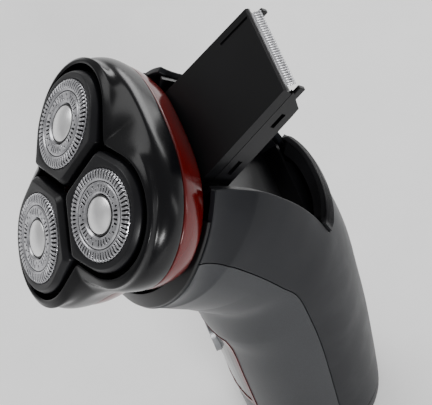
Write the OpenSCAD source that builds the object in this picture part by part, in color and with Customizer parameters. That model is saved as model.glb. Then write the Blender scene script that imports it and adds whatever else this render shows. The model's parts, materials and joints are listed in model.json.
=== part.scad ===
// Rotary electric shaver with three floating heads and a pop-up trimmer.
// Z is up, the shaver stands on its flat base, the power button faces -Y
// and the trimmer is on the back, towards +Y.

/* [Body] */
// Height of the centre of the three discs above the base
head_z = 140; // [134:1:170]
// How far the head centre stands in front of the handle axis
head_out = 44; // [40:1:53]
// Angle between the head and the handle
head_tilt = 50; // [44:1:54]
// Width of the handle at the grip
body_w = 50; // [42:1:60]
// Depth of the handle, front to back
body_d = 45.4; // [40:0.2:54]
// Wall of the moulded shells
wall = 1.8; // [1.2:0.1:2.4]
// Height of the base cap
base_h = 9; // [7:0.5:14]
// Visible seam between fixed mouldings
seam = 0.2; // [0.1:0.05:0.4]

/* [Shaving head] */
// Radius of the circle of disc centres
disc_ring = 18.3; // [16.4:0.1:19.5]
// Radius of one shaving disc
disc_r = 12; // [10:0.1:12.6]
// Outward tilt of each disc
disc_lean = 7.3; // [3:0.1:9]
// Plate rim outside its disc
plate_rim = 2.7; // [1.8:0.1:3]
// Thickness of a plate
plate_t = 4.6; // [3.6:0.1:5]
// Gap around each plate
plate_gap = 1.3; // [0.9:0.1:1.6]
// Long slots in the outer track of a guard
outer_slots = 60; // [40:2:64]
// Slots in the inner track of a guard
inner_slots = 40; // [20:5:45]
// Width of one guard slot
slot_w = 0.42; // [0.3:0.02:0.5]
// Radius of the domed cap
cap_r = 5; // [4:0.1:5.4]
// Blades on a cutter
cutter_blades = 9; // [7:1:11]

/* [Drive] */
// Gear module
gear_m = 0.8; // [0.7:0.02:0.84]
// Teeth of the centre gear
sun_teeth = 22; // [20:1:24]
// Teeth of the motor pinion
pinion_teeth = 12; // [10:1:13]
// Play between meshing teeth
backlash = 0.14; // [0.08:0.02:0.2]
// Radius of the spindles
spindle_r = 1.5; // [1.2:0.1:1.8]
// Radius of the motor can
motor_r = 9.8; // [8:0.1:10.4]
// Length of the motor can
motor_l = 24; // [18:1:27]
// Running clearance of shafts, on radius
shaft_gap = 0.05; // [0.02:0.01:0.08]

/* [Trimmer] */
// Width of the trimmer at the hinge
trim_w = 30.6; // [26:0.1:31]
// Width of the trimmer at the blade
trim_tip_w = 28.6; // [24:0.1:29]
// Length from the hinge pin to the end of the housing
trim_l = 40.2; // [34:0.1:40.6]
// Thickness of the smooth cover
cover_t = 3.1; // [2.4:0.1:3.6]
// Smooth face above the hinge pin
trim_top = 4.6; // [4.2:0.1:5]
// Underside below the hinge pin
trim_under = 4.8; // [4.2:0.1:5]
// Radius of the hinge pin
pin_r = 1; // [0.8:0.1:1.1]
// Angle of the open trimmer above the horizontal
trim_open = 38; // [30:1:42]
// Angle of the closed trimmer below the horizontal
trim_closed = 53; // [50:1:55]
// Teeth on the comb
comb_teeth = 32; // [20:1:36]
// Travel of the cutting blade each way
blade_travel = 1; // [0.4:0.1:1.2]
// Travel of the release slider
slider_travel = 2.4; // [1:0.1:3]

/* [Handle parts] */
// Radius of the power button
button_r = 6.6; // [5:0.1:8]
// Height of the power button above the base
button_z = 52; // [46:1:54]
// Travel of the power button
button_travel = 0.8; // [0.4:0.1:1]
// Radius of the battery
battery_r = 7.1; // [6:0.1:8]
// Length of the battery
battery_l = 50; // [40:1:52]
// Radius of the charging socket
socket_r = 2.75; // [2:0.05:3]
// Depth of the charging socket
socket_l = 9; // [7:0.5:11]

/* [Hidden] */

// ---- frames ---------------------------------------------------------------
head_at = [0, -head_out, head_z];
lobes = [150, 30, 270];
module at_head() { translate(head_at) rotate([head_tilt, 0, 0]) children(); }
module at_lobe(k) { at_head() rotate([0, 0, lobes[k]]) children(); }
module at_disc(k) {
    at_lobe(k) translate([disc_ring, 0, 0]) rotate([0, disc_lean, 0]) children();
}
// A point of the head frame's middle plane, as [y, z] of the shaver.
function head_yz(y, z) = [
    -head_out + y * cos(head_tilt) - z * sin(head_tilt),
    head_z + y * sin(head_tilt) + z * cos(head_tilt)];

// ---- body surface ---------------------------------------------------------
// Sections from the base to the collar: front point, back point, half width.
// The lower ones belong to the straight handle, the rest lean into the head.
hw = body_w / 2;
hd = body_d / 2;
fold_z = head_z - 71;
function rel(y, z) = [y - head_out, z + head_z];
collar_front = head_yz(-32, -30);
collar_back = head_yz(36, -22);
collar_hw = 30.2;
SECTIONS = [
    [[-hd * 0.66, 0], [hd * 0.70, 0], hw * 0.68],
    [[-hd * 0.80, 0.9], [hd * 0.84, 0.9], hw * 0.80],
    [[-hd * 0.87, 3.2], [hd * 0.91, 3.2], hw * 0.86],
    [[-hd * 0.90, base_h], [hd * 0.94, base_h], hw * 0.89],
    [[-hd * 0.93, fold_z * 0.36], [hd * 0.98, fold_z * 0.36], hw * 0.93],
    [[-hd * 0.96, fold_z * 0.66], [hd * 1.02, fold_z * 0.66], hw * 0.97],
    [[-hd * 0.98, fold_z * 0.87], [hd * 1.03, fold_z * 0.93], hw],
    [[-hd * 1.05, fold_z], [hd * 1.03, fold_z + 12], hw * 1.02],
    [rel(18.8, -55.5), rel(hd + 43.2, -45), hw + 1.0],
    [rel(13.6, -51.8), rel(63.8, -33.5), hw + 1.6],
    [rel(8.8, -49.0), rel(61.4, -22.5), hw + 2.2],
    [rel(5.2, -46.6), rel(57.4, -11), hw + 3.0],
    [rel(3.3, -45.0), rel(51, 1.5), hw + 4.0],
    [collar_front, collar_back, collar_hw]];
LAST = len(SECTIONS) - 1;
square_back = 2.25;
square_front = 1.8;

function hermite(p0, p1, p2, p3, t) =
    p1 + (p2 - p0) * t / 2 + (2 * p0 - 5 * p1 + 4 * p2 - p3) * t * t / 2
    + (3 * p1 - p0 - 3 * p2 + p3) * t * t * t / 2;
function section(s, k) = let (i = max(0, min(LAST - 1, floor(s))), t = s - i)
    hermite(SECTIONS[max(0, i - 1)][k], SECTIONS[i][k], SECTIONS[i + 1][k],
            SECTIONS[min(LAST, i + 2)][k], t);
function power(v, p) = sign(v) * pow(abs(v), p);
// Point of the body skin at section s and angle a (0 front, 90 +X, 180 back).
function skin(s, a, inset) = let (
    f = section(s, 0), b = section(s, 1), half = norm(b - f) / 2,
    dir = (b - f) / (2 * half), mid = (f + b) / 2,
    n = 2 / (cos(a) < 0 ? square_back : square_front + (square_back - square_front)
             * max(0, min(1, (10 - s) / 3))),
    d = -(half - inset) * power(cos(a), n))
    [(section(s, 2) - inset) * power(sin(a), n),
     mid[0] + dir[0] * d, mid[1] + dir[1] * d];
// Angle at which the skin's back stands at half width x.
function angle_at(s, x) = 180 - asin(pow(x / section(s, 2), square_back / 2));

// ---- solids from grids of points --------------------------------------------
// Closed sheet between an outer and an inner grid of the same size. A cell
// [row, column] is left out where keep is false.
module sheet(outer, inner, keep) {
    rows = len(outer);
    cols = len(outer[0]);
    n = rows * cols;
    function id(r, c, side) = side * n + r * cols + c;
    function on(r, c) = r >= 0 && c >= 0 && r < rows - 1 && c < cols - 1
        && (is_undef(keep) || keep[r][c]);
    faces = [for (r = [0:rows - 2]) for (c = [0:cols - 2]) if (on(r, c)) each [
        [id(r, c, 0), id(r + 1, c, 0), id(r + 1, c + 1, 0), id(r, c + 1, 0)],
        [id(r, c, 1), id(r, c + 1, 1), id(r + 1, c + 1, 1), id(r + 1, c, 1)],
        if (!on(r - 1, c)) [id(r, c, 0), id(r, c + 1, 0), id(r, c + 1, 1), id(r, c, 1)],
        if (!on(r + 1, c)) [id(r + 1, c + 1, 0), id(r + 1, c, 0),
                            id(r + 1, c, 1), id(r + 1, c + 1, 1)],
        if (!on(r, c - 1)) [id(r + 1, c, 0), id(r, c, 0), id(r, c, 1), id(r + 1, c, 1)],
        if (!on(r, c + 1)) [id(r, c + 1, 0), id(r + 1, c + 1, 0),
                            id(r + 1, c + 1, 1), id(r, c + 1, 1)]]];
    polyhedron(concat([for (row = outer) each row], [for (row = inner) each row]), faces);
}
// Closed ring: each row is the closed profile at one angle, the last joins the first.
module ring(profiles) {
    rows = len(profiles);
    cols = len(profiles[0]);
    faces = [for (r = [0:rows - 1]) for (c = [0:cols - 1])
        let (r2 = (r + 1) % rows, c2 = (c + 1) % cols)
        [r * cols + c, r * cols + c2, r2 * cols + c2, r2 * cols + c]];
    polyhedron([for (p = profiles) each p], faces);
}
// Solid stack of outlines with the same number of points.
module stack(outlines) {
    rows = len(outlines);
    cols = len(outlines[0]);
    sides = [for (r = [0:rows - 2]) for (c = [0:cols - 1]) let (c2 = (c + 1) % cols)
        [r * cols + c, (r + 1) * cols + c, (r + 1) * cols + c2, r * cols + c2]];
    polyhedron([for (o = outlines) each o],
        concat(sides, [[for (c = [0:cols - 1]) c]],
               [[for (c = [cols - 1:-1:0]) (rows - 1) * cols + c]]));
}

// ---- shaving head ---------------------------------------------------------
head_steps = 96;
// Goes from 1 over a disc to -1 between two discs.
function three(a) = cos(3 * (a - lobes[1]));
function polar(r, a, z) = [r * cos(a), r * sin(a), z];
plate_r = disc_r + plate_rim;
apex_x = -disc_ring * cos(disc_lean) + plate_gap / sin(60);
apex_round = 3;
// Outline of a plate in its disc's own frame: a wedge that ends in an arc.
function plate_outline(grow, z) = let (r = plate_r + grow,
    x0 = apex_x - grow / sin(60), mid = x0 + apex_round / sin(60))
    concat([for (a = [-90:7.5:90]) polar(r, a, z)], [[x0 + r / tan(60), r, z]],
           [for (a = [150:15:210]) [mid, 0, 0] + polar(apex_round, a, z)],
           [[x0 + r / tan(60), -r, z]]);
// Radius of the three-lobed hole that the plates float in.
hole_r = plate_r + plate_gap;
corner_a = atan(hole_r / disc_ring);
function hole_at(a) = let (p = abs((a + 360 - lobes[1] + 60) % 120 - 60))
    p < corner_a ? disc_ring * cos(p) + sqrt(pow(hole_r, 2) - pow(disc_ring * sin(p), 2))
                 : hole_r / sin(p);
rim_z = -14;
rim_mean = disc_ring + plate_r;
// The two flats beside the front disc are drawn in at the rim.
function valley(a) = let (d = min(abs((a + 212) % 360 - 180), abs((a + 328) % 360 - 180)))
    d < 50 ? pow(cos(1.8 * d), 2) : 0;
function rim_at(a) = rim_mean + 2.5 * three(a) - 4.8 * valley(a);
function frame_profile(a) = let (c = three(a), h = hole_at(a), top = -2.6 - c, out = rim_at(a))
    [for (p = [[out, rim_z], [out + 0.8 + 0.5 * c, -10.8],
               [max(out + 0.6, rim_mean - 1.5 + 4.85 * c), -7.4],
               [h + 2.9 - 1.3 * c, top - 1.1 + 0.5 * c], [h + 1.0, top],
               [h, top - 0.3], [h, -9.4], [max(h + 1.2, out - wall - 1), -10.6],
               [out - wall, rim_z]])
        polar(p[0], a, p[1])];
module head_frame() {
    color("#17181a") at_head() difference() {
        ring([for (i = [0:head_steps - 1]) frame_profile(i * 360 / head_steps)]);
        for (a = lobes) rotate([0, 0, a]) translate([disc_ring, 0, 0])
            rotate([0, disc_lean, 0]) translate([0, 0, swing_z]) rotate([90, 0, 0])
                cylinder(r = trunnion_r + shaft_gap, h = 2 * trunnion_l + 0.4,
                         center = true, $fn = 24);
    }
}

// Plates tilt on two short pins level with the spindle's tip.
swing_z = -5.4;
trunnion_r = 0.8;
trunnion_l = plate_r + plate_gap + 1.1;
guard_seat = disc_r + 0.05;
module plate(k) {
    color("#303237") at_disc(k) {
        difference() {
            stack([plate_outline(-0.5, -plate_t), plate_outline(0, 0.6 - plate_t),
                   plate_outline(0, -1.5), plate_outline(-0.9, 0)]);
            cylinder(r = guard_seat, h = 30, center = true, $fn = 96);
        }
        for (side = [-1, 1]) {
            translate([-1.6, side * (guard_seat + 0.6) - 0.6, swing_z - 1.4])
                cube([3.2, 1.2, 1.4 - swing_z - plate_t]);
            translate([0, side * (guard_seat + 0.6), swing_z]) rotate([-90 * side, 0, 0])
                cylinder(r = trunnion_r, h = trunnion_l - guard_seat - 0.6, $fn = 24);
        }
    }
}
module plate_a() { plate(0); }
module plate_b() { plate(1); }
module plate_c() { plate(2); }

// Guard: a thin steel cup with an outer and an inner slotted track.
guard_skirt = 2.6;
guard_t = 0.5;
module guard(k) {
    color("#c9cbd0") at_disc(k) difference() {
        rotate_extrude($fn = 96) polygon([
            [1.55, 0.1 - guard_t], [cap_r + 0.35, 0.1 - guard_t], [cap_r + 0.7, 0],
            [8.6, 0], [disc_r - 0.9, 0], [disc_r - 0.9, -guard_skirt], [disc_r, -guard_skirt],
            [disc_r, 0.2], [disc_r - 0.6, 0.75], [9.3, 0.75], [9.0, 0.45], [8.7, 0.45],
            [8.4, 0.7], [cap_r + 0.8, 0.7], [cap_r + 0.2, 0.1], [1.55, 0.1]]);
        for (i = [0:outer_slots - 1]) rotate([0, 0, i * 360 / outer_slots])
            translate([9.4, -slot_w / 2, -0.2]) cube([disc_r - 10.2, slot_w, 2]);
        for (i = [0:inner_slots - 1]) rotate([0, 0, i * 360 / inner_slots])
            translate([cap_r + 1, -slot_w / 2, -0.2]) cube([7.9 - cap_r - 0.8, slot_w, 2]);
    }
}
module guard_a() { guard(0); }
module guard_b() { guard(1); }
module guard_c() { guard(2); }

// Cap: a domed disc on a stud that grips the middle of the guard.
module cap(k) {
    dome_h = 1.1;
    dome_r = (cap_r * cap_r + dome_h * dome_h) / (2 * dome_h);
    color("#dfe0e4") at_disc(k) {
        intersection() {
            translate([0, 0, 0.5 + dome_h - dome_r]) sphere(r = dome_r, $fn = 96);
            translate([0, 0, 0.5]) cylinder(r = cap_r, h = 3, $fn = 96);
        }
        translate([0, 0, 0.1]) cylinder(r = cap_r, h = 0.4, $fn = 96);
        translate([0, 0, -1.2]) cylinder(r = 1.5, h = 1.3, $fn = 32);
    }
}
module cap_a() { cap(0); }
module cap_b() { cap(1); }
module cap_c() { cap(2); }

// Cutter: a ring of blades that runs just under the guard.
tip_w = 2.4;
socket_w = tip_w + 1.1;
module cutter(k) {
    color("#a8abb0") at_disc(k) {
        difference() {
            union() {
                translate([0, 0, -3.4]) cylinder(r = disc_r - 1.3, h = 0.7, $fn = 72);
                translate([0, 0, -7]) cylinder(r = 3.9, h = 3.7, $fn = 48);
            }
            translate([-socket_w / 2, -socket_w / 2, -8]) cube([socket_w, socket_w, 4]);
        }
        for (i = [0:cutter_blades - 1]) rotate([0, 0, i * 360 / cutter_blades]) {
            translate([9.4, -0.3, -2.9]) cube([disc_r - 10.8, 0.6, 2.78]);
            translate([cap_r + 1.1, -0.3, -2.9]) cube([1.9, 0.6, 2.78]);
        }
    }
}
module cutter_a() { cutter(0); }
module cutter_b() { cutter(1); }
module cutter_c() { cutter(2); }

// Spindle circle: where a leaning disc's axis crosses the middle of its socket.
gear_teeth = round(2 * (disc_ring + swing_z * sin(disc_lean)) / gear_m) - sun_teeth;
spindle_ring = gear_m * (sun_teeth + gear_teeth) / 2;
retainer_z = -11.9;
module blade_retainer() {
    color("#26282b") at_head() difference() {
        union() {
            translate([0, 0, retainer_z]) cylinder(r = 8, h = 1.2, $fn = 48);
            for (a = lobes) rotate([0, 0, a]) {
                translate([spindle_ring, 0, retainer_z]) cylinder(r = 10, h = 1.2, $fn = 72);
                rotate([0, 0, 60]) translate([5, -3, retainer_z]) cube([13.2, 6, 1.2]);
            }
        }
        for (a = lobes) rotate([0, 0, a]) translate([spindle_ring, 0, 0])
            cylinder(r = 8.2, h = 60, center = true, $fn = 72);
        cylinder(r = 1.5 + shaft_gap, h = 60, center = true, $fn = 32);
        translate([0, 0, retainer_z - 1]) linear_extrude(4) difference() {
            circle(r = 2 * rim_mean, $fn = 72);
            polygon(lobed(wall + 2.4));
        }
    }
}
module retainer_lock() {
    color("#8b1c1c") at_head() {
        translate([0, 0, retainer_z - 1.9]) cylinder(r = 4.6, h = 1.85, $fn = 48);
        translate([-4, -0.6, retainer_z - 3]) cube([8, 1.2, 1.2]);
        translate([0, 0, retainer_z - 0.1]) cylinder(r = 1.5, h = 1.6, $fn = 32);
    }
}

// ---- hair chamber and gears -------------------------------------------------
ring_top = rim_z - seam;
ring_low = rim_z - 8.2;
function red_profile(a) = let (top = rim_at(a) - 0.3, low = top - 3.4 + 0.8 * valley(a))
    [for (p = [[low, ring_low], [low + 1.6, ring_low + 2.6], [low + 2.7, ring_low + 5],
               [top, ring_top - 0.6], [top - 0.3, ring_top], [top - wall, ring_top],
               [low + 2.6 - wall, ring_low + 4.6], [low - wall, ring_low]])
        polar(p[0], a, p[1])];
module red_ring() {
    color("#8c1116") at_head()
        ring([for (i = [0:head_steps - 1]) red_profile(i * 360 / head_steps)]);
}
function lobed(inset) = [for (i = [0:head_steps - 1]) let (a = i * 360 / head_steps)
    [(rim_at(a) - inset) * cos(a), (rim_at(a) - inset) * sin(a)]];
floor_z = rim_z - 2.2;
module hair_chamber() {
    color("#1d1e21") at_head() difference() {
        union() {
            translate([0, 0, floor_z]) linear_extrude(1.2) polygon(lobed(wall + 1.4));
            for (a = lobes) rotate([0, 0, a]) translate([spindle_ring, 0, floor_z])
                cylinder(r = spindle_r + 1.6, h = 3, $fn = 40);
        }
        for (a = lobes) rotate([0, 0, a]) translate([spindle_ring, 0, 0])
            cylinder(r = spindle_r + shaft_gap, h = 80, center = true, $fn = 40);
        cylinder(r = spindle_r + shaft_gap, h = 80, center = true, $fn = 40);
    }
}
plate_low = ring_low + 0.8;
addendum = 0.72 * gear_m;
dedendum = 1.05 * gear_m;
sun_r = gear_m * sun_teeth / 2;
gear_r = gear_m * gear_teeth / 2;
pinion_r = gear_m * pinion_teeth / 2;
motor_y = -(sun_r + pinion_r);
motor_shaft_r = 1;
module gear_plate() {
    color("#3a3c40") at_head() difference() {
        translate([0, 0, plate_low]) linear_extrude(1.2) polygon(lobed(wall + 4.4));
        for (a = lobes) rotate([0, 0, a]) translate([spindle_ring, 0, 0])
            cylinder(r = spindle_r + shaft_gap, h = 80, center = true, $fn = 40);
        cylinder(r = sun_r + addendum + 0.4, h = 80, center = true, $fn = 64);
        for (x = screw_x) translate([x[0], x[1], 0])
            cylinder(r = screw_r + 0.1, h = 80, center = true, $fn = 24);
    }
}

// Spindles run from the gear plate through the hair chamber into the cutters.
tip_top = -4.2;
module spindle(k) {
    color("#b9bcc2") at_lobe(k) translate([spindle_ring, 0, 0]) {
        translate([0, 0, plate_low + 0.1]) cylinder(r = spindle_r, h = -9 - plate_low, $fn = 40);
        translate([-tip_w / 2, -tip_w / 2, -9.2]) cube([tip_w, tip_w, tip_top + 9.2]);
    }
}
module spindle_a() { spindle(0); }
module spindle_b() { spindle(1); }
module spindle_c() { spindle(2); }

// Involute gear with a tooth on the +X axis, thinned for half the backlash.
function involute(base, r) = let (t = sqrt(max(0, pow(r / base, 2) - 1)))
    t * 180 / PI - atan(t);
function flank(teeth, r) = let (p = gear_m * teeth / 2, base = p * cos(20))
    90 / teeth - backlash / 4 / p * 180 / PI + involute(base, p) - involute(base, r);
module gear(teeth, bore, h) {
    p = gear_m * teeth / 2;
    root = p - dedendum;
    radii = [for (i = [0:4]) max(root, p * cos(20)) + i / 4 * (p + addendum
             - max(root, p * cos(20)))];
    pts = [for (i = [0:teeth - 1]) let (m = i * 360 / teeth) each concat(
        [[root * cos(m - flank(teeth, radii[0])), root * sin(m - flank(teeth, radii[0]))]],
        [for (r = radii) [r * cos(m - flank(teeth, r)), r * sin(m - flank(teeth, r))]],
        [for (j = [4:-1:0]) let (r = radii[j])
            [r * cos(m + flank(teeth, r)), r * sin(m + flank(teeth, r))]],
        [[root * cos(m + flank(teeth, radii[0])), root * sin(m + flank(teeth, radii[0]))]])];
    difference() {
        linear_extrude(h) polygon(pts);
        translate([0, 0, -1]) cylinder(r = bore, h = h + 2, $fn = 40);
    }
}
// Turn that brings a gear at direction a into mesh with one turned by from.
function mesh(a, from, teeth1, teeth2) = a + 180
    + ((a - from) * teeth1 / 360 + 0.5) * 360 / teeth2;
gear_z = ring_low + 2.4;
module spindle_gear(k) {
    turn = mesh(lobes[k], 0, sun_teeth, gear_teeth);
    color("#e7e2d2") at_head() translate(polar(spindle_ring, lobes[k], gear_z))
        rotate([0, 0, turn]) gear(gear_teeth, spindle_r, 2.4);
}
module spindle_gear_a() { spindle_gear(0); }
module spindle_gear_b() { spindle_gear(1); }
module spindle_gear_c() { spindle_gear(2); }
sun_low = plate_low - 4.2;
module centre_gear() {
    color("#e7e2d2") at_head() {
        translate([0, 0, sun_low]) gear(sun_teeth, 0.01, gear_z + 2.4 - sun_low);
        translate([0, 0, sun_low - 1.6]) cylinder(r = spindle_r, h = 1.6, $fn = 40);
        translate([0, 0, gear_z + 2.4])
            cylinder(r = spindle_r, h = floor_z + 1 - gear_z - 2.4, $fn = 40);
    }
}
module motor_pinion() {
    color("#c6a14a") at_head() translate([0, motor_y, sun_low + 0.2])
        rotate([0, 0, mesh(-90, 0, sun_teeth, pinion_teeth)]) gear(pinion_teeth, motor_shaft_r, 3.2);
}
neck_low = ring_low - 7.3;
neck_back = 11.4;
neck_front = -22;
neck_round = 6;
mating = 2.4;
neck_hw = 15;
screw_r = 1;
screw_x = [[-11.7, -18.2], [11.7, -18.2], [-12, -7], [12, -7]];
module neck() {
    floor_low = sun_low - 1.6;
    color("#101113") at_head() difference() {
        union() {
            translate([0, 0, neck_low]) linear_extrude(plate_low - neck_low)
                polygon([for (c = [[neck_hw, neck_back, 0], [-neck_hw, neck_back, 90],
                                   [-neck_hw, neck_front, 180], [neck_hw, neck_front, 270]])
                         for (a = [0:15:90]) [
                             c[0] - sign(c[0]) * neck_round + neck_round * cos(a + c[2]),
                             c[1] - sign(c[1]) * neck_round + neck_round * sin(a + c[2])]]);
            translate([0, 0, neck_low - 1.6]) linear_extrude(1.6) difference() {
                polygon([for (i = [0:71]) let (a = i * 5)
                    [(collar_hw - wall - mating - 1.6) * sin(a),
                     -1.5 - (30.5 - wall - mating - 1.6) * cos(a)]]);
                translate([-60, neck_back - 2]) square([120, 60]);
            }
        }
        difference() {
            translate([1.6 - neck_hw, neck_front + 1.6, -60])
                cube([2 * neck_hw - 3.2, neck_back - neck_front - 2.8, 60]);
            translate([-40, -40, floor_low]) cube([80, 80, 1.4]);
            for (x = screw_x) translate([x[0], x[1], neck_low])
                cylinder(r = 2.6, h = 20, $fn = 32);
        }
        cylinder(r = spindle_r + shaft_gap, h = 80, center = true, $fn = 40);
        translate([0, motor_y, 0]) cylinder(r = motor_shaft_r + shaft_gap, h = 80, center = true, $fn = 32);
        for (x = screw_x) translate([x[0], x[1], plate_low - 5])
            cylinder(r = screw_r, h = 20, $fn = 24);
    }
}
module gear_screws() {
    color("#8d9095") at_head() for (x = screw_x) translate([x[0], x[1], plate_low]) {
        translate([0, 0, -4.8]) cylinder(r = screw_r, h = 6, $fn = 24);
        difference() {
            translate([0, 0, 1.2]) cylinder(r = 1.8, h = 1, $fn = 32);
            translate([-1.3, -0.2, 1.6]) cube([2.6, 0.4, 2]);
            translate([-0.2, -1.3, 1.6]) cube([0.4, 2.6, 2]);
        }
    }
}
motor_top = neck_low - 2.6;
module motor() {
    color("#9aa0a6") at_head() translate([0, motor_y, 0]) {
        translate([0, 0, motor_top - motor_l]) cylinder(r = motor_r, h = motor_l, $fn = 72);
        translate([0, 0, motor_top]) cylinder(r = 3, h = 0.9, $fn = 40);
    }
}
module motor_shaft() {
    color("#b9bcc2") at_head() translate([0, motor_y, motor_top + 0.95])
        cylinder(r = motor_shaft_r, h = sun_low + 3.4 - motor_top - 0.95, $fn = 32);
}
module motor_end_cap() {
    color("#e9e6dc") at_head() translate([0, motor_y, motor_top - motor_l]) {
        translate([0, 0, -2]) cylinder(r = motor_r - 0.4, h = 2, $fn = 72);
        for (x = [-6, 6]) translate([x - 0.4, -1.5, -5]) cube([0.8, 3, 3]);
    }
}
module motor_clamp() {
    color("#2b2d30") at_head() translate([0, motor_y, motor_top - 12]) {
        difference() {
            cylinder(r = motor_r + 1.5, h = 8, $fn = 72);
            translate([0, 0, -1]) cylinder(r = motor_r, h = 10, $fn = 72);
        }
        for (side = [-1, 1]) translate([side * (motor_r + 2.3) - 1.2, -2, 2])
            cube([2.4, 4, neck_low - 1.6 - motor_top + 10]);
    }
}

// ---- shells -----------------------------------------------------------------
seam_a = 98;
steps_per_section = 4;
first_row = 3 * steps_per_section;
last_row = LAST * steps_per_section;
hole_row = 8.5 * steps_per_section;
function rows(from, to) = [for (i = [from:to]) i / steps_per_section];
bay_hw = trim_w / 2 + 0.6;
hole_hw = bay_hw + 1.2 + seam;
function hole_x(s) = hole_hw + 4.4 * pow(max(0, s - 9) / (LAST - 9), 1.4);
function grid(rows, inset) = [for (s = rows) [for (a = columns(s)) skin(s, a, inset)]];
// Columns of the back shell: side, opening in the middle, other side.
side_cols = 10;
mid_cols = 8;
function columns(s) = let (a1 = seam_a, a2 = angle_at(s, hole_x(s)))
    concat([for (i = [0:side_cols]) a1 + (a2 - a1) * i / side_cols],
           [for (i = [1:mid_cols]) a2 + (360 - 2 * a2) * i / mid_cols],
           [for (i = [1:side_cols]) 360 - a2 + (a2 - a1) * i / side_cols]);
module back_shell() {
    list = rows(first_row, last_row);
    keep = [for (s = list) [for (c = [0:2 * side_cols + mid_cols - 1])
        s * steps_per_section < hole_row || c < side_cols || c >= side_cols + mid_cols]];
    color("#2f3134") sheet(grid(list, 0), grid(list, wall), keep);
}
// Columns of the front shell, with the button panel's opening in the middle.
panel_a = 34;
panel_from = 4 * steps_per_section;
panel_to = 6.75 * steps_per_section;
gap_a = 0.5;
front_cols = concat([for (i = [0:7]) gap_a - seam_a + (seam_a - panel_a) * i / 8],
                    [for (i = [0:8]) -panel_a + panel_a * i / 4],
                    [for (i = [1:8]) panel_a + (seam_a - panel_a - gap_a) * i / 8]);
function patch(rows, cols, inset) = [for (s = rows) [for (a = cols) skin(s, a, inset)]];
module front_shell() {
    list = rows(first_row, last_row);
    keep = [for (s = list) [for (c = [0:len(front_cols) - 2]) let (r = s * steps_per_section)
        r < panel_from || r >= panel_to || c < 8 || c > 15]];
    color("#4a4c50") sheet(patch(list, front_cols, 0), patch(list, front_cols, wall), keep);
}
// The accent is a thin frame in the opening, the panel lies inside it.
accent_a = 3.2;
accent_s = 0.09;
module red_accent() {
    from = panel_from / steps_per_section + 0.01;
    to = panel_to / steps_per_section - 0.01;
    list = concat([from], [for (i = [0:11]) from + accent_s + (to - from - 2 * accent_s) * i / 11],
                  [to]);
    edge = panel_a - 0.4;
    cols = concat([-edge], [for (i = [-4:4]) (edge - accent_a) * i / 4], [edge]);
    keep = [for (r = [0:len(list) - 2]) [for (c = [0:len(cols) - 2])
        r == 0 || r == len(list) - 2 || c == 0 || c == len(cols) - 2]];
    color("#8c1116") sheet(patch(list, cols, -0.25), patch(list, cols, wall), keep);
}
panel_edge = panel_a - accent_a - 0.8;
module button_panel() {
    from = panel_from / steps_per_section + accent_s + 0.02;
    to = panel_to / steps_per_section - accent_s - 0.02;
    list = [for (i = [0:11]) from + (to - from) * i / 11];
    cols = [for (i = [-5:5]) panel_edge * i / 5];
    color("#0e0f11") difference() {
        sheet(patch(list, cols, 0), patch(list, cols, wall));
        translate([0, 0, button_z]) rotate([90, 0, 0])
            cylinder(r = button_r + 0.15, h = 60, $fn = 64);
        translate([0, 0, lens_z]) rotate([90, 0, 0])
            cylinder(r = lens_r + 0.05, h = 60, $fn = 40);
    }
}
button_face = -hd - 0.3;
switch_face = -12.4;
module power_button() {
    color("#7e8187") translate([0, 0, button_z]) rotate([-90, 0, 0]) {
        translate([0, 0, button_face]) difference() {
            cylinder(r = button_r, h = 3.4, $fn = 64);
            translate([0, 0, -19.3]) sphere(r = 20, $fn = 96);
        }
        translate([0, 0, button_face + 3])
            cylinder(r = 2, h = switch_face - button_travel - 0.15 - button_face - 3, $fn = 32);
    }
}
lens_r = 1.6;
lens_z = button_z - 17;
module charge_lens() {
    color("#e8f0f2") translate([0, 0, lens_z]) rotate([-90, 0, 0])
        translate([0, 0, -hd * 0.945]) cylinder(r = lens_r, h = 4, $fn = 40);
}

// Base cap: closes the handle and holds the charging socket.
base_steps = 64;
function base_outline(s, inset) = [for (i = [0:base_steps - 1])
    skin(s, i * 360 / base_steps, inset)];
module base_cap() {
    list = [for (i = [0:12]) i / 4];
    top = base_h - seam;
    color("#1b1c1e") difference() {
        stack([for (s = list) let (o = base_outline(s, 0))
            [for (p = o) [p[0], p[1], min(p[2], top)]]]);
        stack([for (u = [0:2]) let (o = base_outline(2, wall))
            [for (p = o) [p[0], p[1], wall + 0.6 + u * base_h]]]);
        translate([0, 0, -1]) cylinder(r = socket_r + 1.5, h = base_h, $fn = 48);
    }
}
module charging_socket() {
    color("#202124") difference() {
        union() {
            cylinder(r = socket_r + 1.45, h = socket_l + 2, $fn = 48);
            translate([-6, -6, wall + 0.65]) cube([12, 12, 2]);
        }
        translate([0, 0, -1]) cylinder(r = socket_r, h = socket_l + 1, $fn = 48);
        translate([0, 0, socket_l - 1]) cylinder(r = 0.8, h = 6, $fn = 24);
    }
}
module socket_pin() {
    color("#d9c27a") translate([0, 0, socket_l + 0.05]) cylinder(r = 0.8, h = 3, $fn = 24);
}

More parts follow.
